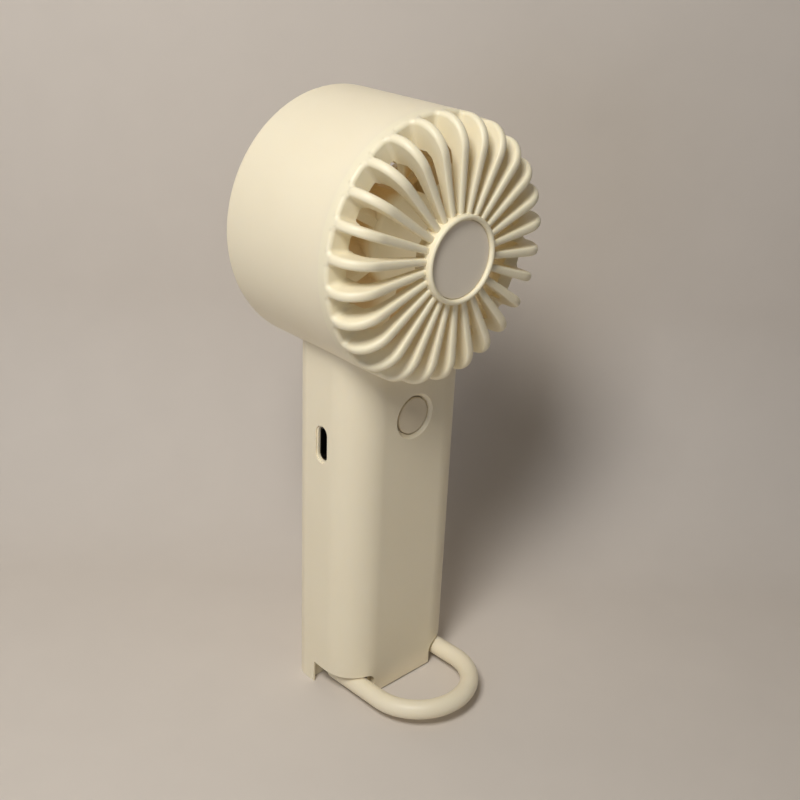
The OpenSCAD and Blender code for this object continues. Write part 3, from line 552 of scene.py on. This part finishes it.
def window_plug():
    """Cutter for one air window: it widens outwards and has round outer corners."""
    lean = math.pi / FIN_COUNT
    bpy.ops.object.select_all(action="DESELECT")
    middle = on_head((WINDOW_R + WINDOW_IN_R) / 2, SLOT_START)
    bpy.ops.mesh.primitive_cube_add(size=1, location=middle)
    plug = bpy.context.active_object
    plug.scale = (MM, WINDOW_CUT_DEPTH * MM, (WINDOW_R - WINDOW_IN_R) * MM)
    bpy.ops.object.transform_apply(location=True, rotation=True, scale=True)
    for vertex in plug.data.vertices:
        radius = vertex.co.z / MM - HEAD_Z
        half = radius * math.tan(lean) - (FIN_RIM_T / 2 + WINDOW_LEDGE) / math.cos(lean)
        vertex.co.x = math.copysign(half * MM, vertex.co.x)
    start_edit(plug)
    bpy.ops.mesh.select_all(action="SELECT")
    choose_edges(plug, is_window_corner)
    bpy.ops.mesh.bevel(offset=WINDOW_CORNER_R * MM, segments=4, affect="EDGES")
    bpy.ops.object.mode_set(mode="OBJECT")
    return plug


grille = ring_of(grille_sector(), FIN_COUNT, 0)
grille.name = "front_fins"
start_edit(grille)
bpy.ops.mesh.select_all(action="SELECT")
bpy.ops.mesh.remove_doubles(threshold=WELD * MM)
bpy.ops.mesh.normals_make_consistent(inside=False)
bpy.ops.object.mode_set(mode="OBJECT")
round_grille(grille)
hub_outline = [(0, HUB_FLOOR_BACK), (HUB_RING_IN_R, HUB_FLOOR_BACK), (HUB_RING_IN_R, HUB_RING_BACK),
               (HUB_RING_R, HUB_RING_BACK)]
hub_outline += arc(HUB_RING_R - BEAD_R, HUB_RING_FRONT - BEAD_R, BEAD_R, 0, 180, steps=8)
hub_outline += [(HUB_RING_IN_R, HUB_FLOOR_FRONT), (0, HUB_FLOOR_FRONT)]
hub = spun("hub", [on_head(r, s) for r, s in hub_outline], head_centre, steps=128)
combine(grille, hub, "UNION")
combine(grille, ring_of(window_plug(), FIN_COUNT, math.pi / FIN_COUNT), "DIFFERENCE")
smooth(grille)
# Satin ABS like the shell's, drawn a touch yellower as painted light: the yellow stands in for warm light
# bounced between the fins.
fin_abs_painted_warm = moulded_plastic("ivory satin ABS of the fins with painted warm light", "#F8EED1", "#F4E9CA", roughness=0.46,
                          grain_mm=0.35, grain_height_mm=0.012, glow=0.4)
finish_piece(grille, "housing", "ivory_shell", fin_abs_painted_warm, "front_grille")

# Hub disc: a plain matt disc pressed into the hub ring, a shade greyer than the shell.
# Its face has a finely sanded texture, and its edge is rounded by the moulding tool.
DISC_R = 9.1
DISC_FRONT = 23.7
DISC_BACK = 22.6
DISC_EDGE = 0.25
disc_outline = [(0, DISC_BACK), (DISC_R, DISC_BACK)]
disc_outline += arc(DISC_R - DISC_EDGE, DISC_FRONT - DISC_EDGE, DISC_EDGE, 0, 90, steps=4)
disc_outline += [(0, DISC_FRONT)]
disc = spun("hub_disc", [on_head(r, s) for r, s in disc_outline], head_centre, steps=96)
smooth(disc)
# Sanded ABS: paler and greyer than the satin, with a fine tooth drawn at 0.4 mm.
disc_abs = moulded_plastic("sanded grey ivory ABS", "#F8EFDE", "#EADECB", roughness=0.42,
                           grain_mm=0.4, grain_height_mm=0.06)
finish_piece(disc, "housing", "badge_disc", disc_abs, "hub_badge")

# Inner frame, cell and wiring: a white ABS cradle, a shrink-wrapped steel cell and insulated leads.
# They slide into the handle from below and are hidden by the shell.
# White ABS straight from the tool, with an even soft sheen.
white_abs = moulded_plastic("white moulded ABS", "#E4E4E0", "#DBDBD6", roughness=0.5,
                            grain_mm=0.5, grain_height_mm=0.005)
dress(white_abs, "inner_frame")
# Shrink wrap is a thin glossy film that lies in slight waves, 2 mm long.
shrink_wrap = moulded_plastic("blue shrink wrap", "#3F78B5", "#376CA6", roughness=0.25,
                              grain_mm=2.0, grain_height_mm=0.004)
dress(shrink_wrap, "battery_cell")
# Silicone leads are soft to the eye, with a dull bloom.
red_silicone = moulded_plastic("red silicone lead", "#B03028", "#A42A22", roughness=0.5,
                               grain_mm=0.4, grain_height_mm=0.004)
black_silicone = moulded_plastic("black silicone lead", "#2A2A2A", "#222222", roughness=0.5,
                                 grain_mm=0.4, grain_height_mm=0.004)
dress(red_silicone, "battery_leads")
dress(black_silicone, "motor_leads")

# Charging socket: a folded steel shell in black nickel with a black contact tongue, soldered to the board.
# Its mouth stands 0.9 mm inside the slot in the handle's side.
SOCKET_EDGE = 0.05
socket = cad_copy("usb_socket", "socket_shell")
break_edges(socket, SOCKET_EDGE)
smooth(socket)
# Black nickel: a dark plating with a soft brown shine.
black_nickel = plain_metal("black nickel-plated steel", "#3B3733", roughness=0.35, grain_mm=0.3)
finish_piece(socket, "housing", "steel", black_nickel, "usb_socket")
# Nylon is a plain matt black.
black_nylon = moulded_plastic("black nylon", "#26262A", "#1F1F22", roughness=0.45,
                              grain_mm=0.3, grain_height_mm=0.004)
dress(black_nylon, "usb_tongue", "switch_plunger")

# Power button: a round ivory cap in a dished hole, held behind the wall by its flange.
# A stem on its back presses the switch.
BUTTON_R = 4.8
BUTTON_FRONT = 11.0
BUTTON_EDGE = 0.3
BUTTON_FLANGE_R = 6.2
BUTTON_FLANGE_FRONT = 9.5
BUTTON_FLANGE_BACK = 8.3
BUTTON_STEM_R = 1.5
BUTTON_STEM_BACK = 2.1
button_outline = [(0, BUTTON_STEM_BACK), (BUTTON_STEM_R, BUTTON_STEM_BACK),
                  (BUTTON_STEM_R, BUTTON_FLANGE_BACK), (BUTTON_FLANGE_R, BUTTON_FLANGE_BACK),
                  (BUTTON_FLANGE_R, BUTTON_FLANGE_FRONT), (BUTTON_R, BUTTON_FLANGE_FRONT)]
button_outline += arc(BUTTON_R - BUTTON_EDGE, BUTTON_FRONT - BUTTON_EDGE, BUTTON_EDGE, 0, 90, steps=4)
button_outline += [(0, BUTTON_FRONT)]
button_centre = Vector((0, 0, BUTTON_Z * MM))
button = spun("button_cap", [Vector((0, -s * MM, (BUTTON_Z + r) * MM)) for r, s in button_outline],
              button_centre, steps=64)
smooth(button)
# The cap's ABS is a shade deeper than the shell's and lets no light in.
button_abs = moulded_plastic("ivory ABS of the button", "#E9DCC1", "#E4D6B9", roughness=0.48,
                             grain_mm=0.35, grain_height_mm=0.01)
finish_piece(button, "button", "button_plastic", button_abs, "power_button")

# Base plug: the block that closes the foot, moulded in ivory ABS and held by two screws.
# It carries the loop's pivots and shows under the two side arches.
# The front of each rear leg is left hollow, so that the shell's wall shows as a thin edge.
plug = cad_copy("base_plug", "foot_plug")
cut_leg_mouths(plug)
smooth(plug)
finish_piece(plug, "housing", "ivory_shell", ivory_abs, "base_plug")

# Foot loop: a U of round rod moulded in ivory ABS, with round arm ends and two pivot pins.
# It clips into the base plug and swings under the handle.
ROD_R = 2.5
LOOP_X = 14.0
LOOP_ARM = 17.8
LOOP_TILT = 3.8
PIVOT_Z = 3.1
PIN_R = 1.4
PIN_END = 6.9
END_STEPS = 6
ROD_SIDES = 32


def round_rod_end(side):
    """Close one arm of the loop with a half ball, ring by ring."""
    step = math.pi / 2 / END_STEPS
    for ring in range(1, END_STEPS):
        shift = ROD_R * (math.sin(ring * step) - math.sin((ring - 1) * step))
        shrink = math.cos(ring * step) / math.cos((ring - 1) * step)
        bpy.ops.mesh.extrude_region_move(TRANSFORM_OT_translate={"value": (0, shift * MM, 0)})
        centre = (side * LOOP_X * MM, ROD_R * math.sin(ring * step) * MM, 0)
        bpy.ops.transform.resize(value=(shrink, 1, shrink), center_override=centre)
    shift = ROD_R * (1 - math.sin((END_STEPS - 1) * step))
    bpy.ops.mesh.extrude_region_move(TRANSFORM_OT_translate={"value": (0, shift * MM, 0)})
    bpy.ops.mesh.merge(type="CENTER")


def select_arm_end(loop, side):
    """Select the flat face at the end of one arm."""
    bpy.ops.object.mode_set(mode="OBJECT")
    for polygon in loop.data.polygons:
        flat = abs(polygon.center.y) < FLUSH * MM and len(polygon.vertices) == ROD_SIDES
        polygon.select = flat and polygon.center.x * side > 0
    bpy.ops.object.mode_set(mode="EDIT")


bpy.ops.object.select_all(action="DESELECT")
bpy.ops.mesh.primitive_circle_add(vertices=ROD_SIDES, radius=ROD_R * MM, fill_type="NGON",
                                  location=(LOOP_X * MM, 0, 0), rotation=(math.pi / 2, 0, 0))
loop = bpy.context.active_object
loop.name = "foot_rod"
bpy.ops.object.transform_apply(location=True, rotation=True, scale=True)
start_edit(loop)
bpy.ops.mesh.select_mode(type="FACE")
bpy.ops.mesh.select_all(action="SELECT")
bpy.ops.mesh.extrude_region_move(TRANSFORM_OT_translate={"value": (0, -LOOP_ARM * MM, 0)})
bpy.ops.mesh.spin(steps=48, angle=math.pi, center=(0, -LOOP_ARM * MM, 0), axis=(0, 0, 1))
bpy.ops.mesh.extrude_region_move(TRANSFORM_OT_translate={"value": (0, LOOP_ARM * MM, 0)})
bpy.ops.mesh.select_all(action="SELECT")
bpy.ops.mesh.remove_doubles(threshold=WELD * MM)
bpy.ops.mesh.normals_make_consistent(inside=False)
bpy.ops.object.mode_set(mode="OBJECT")
for side in (1, -1):
    start_edit(loop)
    bpy.ops.mesh.select_mode(type="FACE")
    select_arm_end(loop, side)
    round_rod_end(side)
    bpy.ops.object.mode_set(mode="OBJECT")
for side in (1, -1):
    bpy.ops.object.select_all(action="DESELECT")
    bpy.ops.mesh.primitive_cylinder_add(vertices=24, radius=PIN_R * MM, depth=(LOOP_X - PIN_END) * MM,
                                        location=(side * (LOOP_X + PIN_END) / 2 * MM, 0, 0),
                                        rotation=(0, math.pi / 2, 0))
    pin = bpy.context.active_object
    bpy.ops.object.transform_apply(location=True, rotation=True, scale=True)
    combine(loop, pin, "UNION")
raised = Matrix.Rotation(math.radians(-LOOP_TILT), 4, "X")
loop.data.transform(Matrix.Translation((0, 0, PIVOT_Z * MM)) @ raised)
smooth(loop)
finish_piece(loop, "loop", "ivory_shell", ivory_abs, "foot_loop")

# Camera: stands in front of the fan on the charging port's side and looks down on it.
# Its place, its turn and its lens give the fan the same edges as in the photograph.
LENS = 50.34
SENSOR = 36
NEAR_CLIP = 10
CAMERA_AT = (-173.75, -187.94, 202.19)
CAMERA_RIGHT = (0.7356, -0.6762, 0.0402)
CAMERA_UP = (0.2627, 0.3396, 0.9031)
CAMERA_BACK = (-0.6243, -0.6538, 0.4275)
camera_data = bpy.data.cameras.new("camera")
camera_data.lens = LENS
camera_data.sensor_width = SENSOR
camera_data.clip_start = NEAR_CLIP * MM
camera = bpy.data.objects.new("camera", camera_data)
bpy.context.scene.collection.objects.link(camera)
camera.matrix_world = Matrix((
    (CAMERA_RIGHT[0], CAMERA_UP[0], CAMERA_BACK[0], CAMERA_AT[0] * MM),
    (CAMERA_RIGHT[1], CAMERA_UP[1], CAMERA_BACK[1], CAMERA_AT[1] * MM),
    (CAMERA_RIGHT[2], CAMERA_UP[2], CAMERA_BACK[2], CAMERA_AT[2] * MM),
    (0, 0, 0, 1),
))
bpy.context.scene.camera = camera

# Backdrop: one sheet of warm grey paper that lies flat under the fan and curves up behind it.
# It is turned to face the camera, so that the curve runs level across the picture.
SHEET_W = 2400
SHEET_FRONT = 1200
SHEET_BACK = 35
SHEET_BEND_R = 70
SHEET_TOP = 900
SHEET_TURN_DEG = -43.68
LIT_R = 280
PALE_R = 650
PALE_STRENGTH = 0.4


def seen_ray(tree):
    """1 for rays that show the background, directly or by a shine or glass, and 0 for the rest."""
    path = add_node(tree, "ShaderNodeLightPath").outputs
    seen = add_node(tree, "ShaderNodeMath",
                    links={0: path["Is Camera Ray"], 1: path["Is Glossy Ray"]}, operation="MAXIMUM")
    seen = add_node(tree, "ShaderNodeMath",
                    links={0: seen.outputs["Value"], 1: path["Is Transmission Ray"]}, operation="MAXIMUM")
    return seen.outputs["Value"]


bpy.ops.object.select_all(action="DESELECT")
bpy.ops.mesh.primitive_plane_add(size=1, location=(0, (SHEET_BACK - SHEET_FRONT) / 2 * MM, 0))
sheet = bpy.context.active_object
sheet.name = "paper_sheet"
sheet.scale = (SHEET_W * MM, (SHEET_BACK + SHEET_FRONT) * MM, 1)
bpy.ops.object.transform_apply(location=True, rotation=True, scale=True)
start_edit(sheet)
bpy.ops.object.mode_set(mode="OBJECT")
for edge in sheet.data.edges:
    edge.select = min(sheet.data.vertices[i].co.y for i in edge.vertices) > 0
bpy.ops.object.mode_set(mode="EDIT")
bpy.ops.mesh.select_mode(type="EDGE")
bpy.ops.mesh.spin(steps=24, angle=math.pi / 2, axis=(-1, 0, 0),
                  center=(0, SHEET_BACK * MM, SHEET_BEND_R * MM))
bpy.ops.mesh.extrude_region_move(TRANSFORM_OT_translate={"value": (0, 0, SHEET_TOP * MM)})
bpy.ops.object.mode_set(mode="OBJECT")
sheet.data.transform(Matrix.Rotation(math.radians(SHEET_TURN_DEG), 4, "Z"))
bpy.ops.object.shade_smooth()
# Uncoated paper: flat and matt, with faint clouds and a fibre grain of about 1.2 mm.
paper = moulded_plastic("warm grey paper", "#DAD1C6", "#D5CCC1", roughness=0.9,
                        grain_mm=1.2, grain_height_mm=0.01)
# Seen from behind, the sheet is clear, so that it never hides the fan.
paper_tree = paper.node_tree
paper_shader = paper_tree.nodes["Principled BSDF"]
reverse = add_node(paper_tree, "ShaderNodeNewGeometry").outputs["Backfacing"]
clear = add_node(paper_tree, "ShaderNodeBsdfTransparent").outputs["BSDF"]
one_sided = add_node(paper_tree, "ShaderNodeMixShader",
                     links={0: reverse, 1: paper_shader.outputs["BSDF"], 2: clear})
paper_tree.links.new(one_sided.outputs["Shader"], paper_tree.nodes["Material Output"].inputs["Surface"])
# Far from the fan, where the lamps do not reach, the paper is seen pale instead of dark.
place = add_node(paper_tree, "ShaderNodeTexCoord").outputs["Object"]
distance = add_node(paper_tree, "ShaderNodeVectorMath", links={0: place}, operation="LENGTH")
far = add_node(paper_tree, "ShaderNodeMapRange",
               {"From Min": LIT_R * MM, "From Max": PALE_R * MM, "To Max": PALE_STRENGTH},
               {"Value": distance.outputs["Value"]})
pale = add_node(paper_tree, "ShaderNodeMath", links={0: far.outputs["Result"], 1: seen_ray(paper_tree)},
                operation="MULTIPLY")
paper_shader.inputs["Emission Color"].default_value = linear("#F4EEE6")
paper_tree.links.new(pale.outputs["Value"], paper_shader.inputs["Emission Strength"])
sheet.data.materials.append(paper)

# Light: a soft lamp high in front on the charging port's side, aimed past the fan at the paper,
# a weak and slightly cool one low on the same side, and the pale room round both.
FAN_MIDDLE = (0, 0, 90)
PAPER_AIM = (-110, 80, 0)
KEY_AT = (-255, -125, 425)
SIDE_AT = (-600, -200, 160)
ROOM_LIGHT = 0.075
ROOM_SEEN = 0.5


def soft_lamp(name, place_mm, aim_mm, size_mm, watts, colour):
    """Square area lamp at a place, turned towards a point."""
    data = bpy.data.lights.new(name, "AREA")
    data.energy = watts
    data.color = linear(colour)[:3]
    data.size = size_mm * MM
    lamp = bpy.data.objects.new(name, data)
    bpy.context.scene.collection.objects.link(lamp)
    place = Vector(place_mm) * MM
    turn = (place - Vector(aim_mm) * MM).to_track_quat("Z", "Y")
    lamp.matrix_world = Matrix.Translation(place) @ turn.to_matrix().to_4x4()


soft_lamp("key_lamp", KEY_AT, PAPER_AIM, size_mm=140, watts=1.5, colour="#FFFDFA")
soft_lamp("side_lamp", SIDE_AT, FAN_MIDDLE, size_mm=200, watts=0.38, colour="#D6E4FF")
world = bpy.data.worlds.new("pale room")
bpy.context.scene.world = world
world.use_nodes = True
room = world.node_tree.nodes["Background"]
# The room lights the fan weakly and coolly, and shows as pale as the paper where the sheet ends.
seen = seen_ray(world.node_tree)
level = add_node(world.node_tree, "ShaderNodeMapRange", {"To Min": ROOM_LIGHT, "To Max": ROOM_SEEN},
                 {"Value": seen})
tint = add_node(world.node_tree, "ShaderNodeMix", {"A": linear("#E6EBF4"), "B": linear("#F4F0EA")},
                {"Factor": seen}, data_type="RGBA")
world.node_tree.links.new(tint.outputs["Result"], room.inputs["Color"])
world.node_tree.links.new(level.outputs["Result"], room.inputs["Strength"])
bpy.context.scene.view_settings.view_transform = "Standard"
